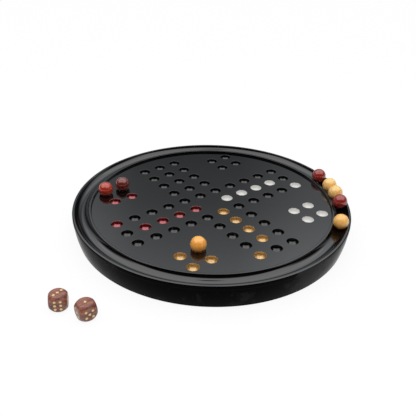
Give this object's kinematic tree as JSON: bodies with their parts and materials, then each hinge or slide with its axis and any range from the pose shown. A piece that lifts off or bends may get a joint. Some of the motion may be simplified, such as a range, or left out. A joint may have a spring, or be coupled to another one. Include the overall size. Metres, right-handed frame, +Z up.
{
  "type": "ludo board",
  "caption": "Round black lacquered ludo board with dished cups in a cross, a ball groove inside the rim, stone balls as playing pieces and rounded wooden dice beside it.",
  "frame": {"origin": "on the table surface under the centre of the board, at the middle felt pad's underside", "axes": "+Z up out of the playing field, +X along the white player's arm, +Y along the black player's arm"},
  "size_m": [0.3594, 0.3004, 0.0397],
  "materials": {
    "black_lacquer": "turned board under polished black lacquer",
    "felt": "pressed wool felt",
    "red_enamel": "glossy red enamel paint",
    "gold_enamel": "metallic gold enamel paint",
    "white_enamel": "soft pearl white enamel paint",
    "red_stone": "polished red jasper",
    "gold_stone": "polished honey-yellow jade",
    "rosewood": "oiled and polished rosewood",
    "pip_brass": "pegs filed flush, pale satin"
  },
  "bodies": {
    "board": {"playing_field": "black_lacquer", "bead_ring": "black_lacquer", "rim_ring": "black_lacquer", "base_plate": "black_lacquer", "felt_pads": "felt", "red_home_cups": "red_enamel", "red_goal_cups": "red_enamel", "red_start_cup": "red_enamel", "gold_home_cups": "gold_enamel", "gold_goal_cups": "gold_enamel", "gold_start_cup": "gold_enamel", "white_home_cups": "white_enamel", "white_goal_cups": "white_enamel", "white_start_cup": "white_enamel"},
    "red_ball_1": {"red_ball_1": "red_stone"},
    "red_ball_2": {"red_ball_2": "red_stone"},
    "red_ball_3": {"red_ball_3": "red_stone"},
    "red_ball_4": {"red_ball_4": "red_stone"},
    "gold_ball_1": {"gold_ball_1": "gold_stone"},
    "gold_ball_2": {"gold_ball_2": "gold_stone"},
    "gold_ball_3": {"gold_ball_3": "gold_stone"},
    "gold_ball_4": {"gold_ball_4": "gold_stone"},
    "die_1": {"die_1": "rosewood", "die_1_pips": "pip_brass"},
    "die_2": {"die_2": "rosewood", "die_2_pips": "pip_brass"}
  },
  "joints": [
    {"name": "red_ball_1_lift", "type": "slide", "parent": "board", "child": "red_ball_1", "axis": [0, 0, 1], "range_m": [0, 0.06]},
    {"name": "red_ball_2_lift", "type": "slide", "parent": "board", "child": "red_ball_2", "axis": [0, 0, 1], "range_m": [0, 0.06]},
    {"name": "gold_ball_1_lift", "type": "slide", "parent": "board", "child": "gold_ball_1", "axis": [0, 0, 1], "range_m": [0, 0.06]},
    {"name": "gold_ball_2_lift", "type": "slide", "parent": "board", "child": "gold_ball_2", "axis": [0, 0, 1], "range_m": [0, 0.06]},
    {"name": "gold_ball_3_lift", "type": "slide", "parent": "board", "child": "gold_ball_3", "axis": [0, 0, 1], "range_m": [0, 0.06]},
    {"name": "red_ball_4_lift", "type": "slide", "parent": "board", "child": "red_ball_4", "axis": [0, 0, 1], "range_m": [0, 0.06]},
    {"name": "red_ball_3_roll", "type": "hinge", "parent": "board", "child": "red_ball_3", "pos_m": [0, 0, 0.0317], "axis": [0, 0, 1], "range_deg": [0, 150]},
    {"name": "gold_ball_4_roll", "type": "hinge", "parent": "board", "child": "gold_ball_4", "pos_m": [0, 0, 0.0317], "axis": [0, 0, 1], "range_deg": [-150, 0]},
    {"name": "die_1_lift", "type": "slide", "parent": "board", "child": "die_1", "axis": [0, 0, 1], "range_m": [0, 0.1]},
    {"name": "die_2_lift", "type": "slide", "parent": "board", "child": "die_2", "axis": [0, 0, 1], "range_m": [0, 0.1]}
  ]
}
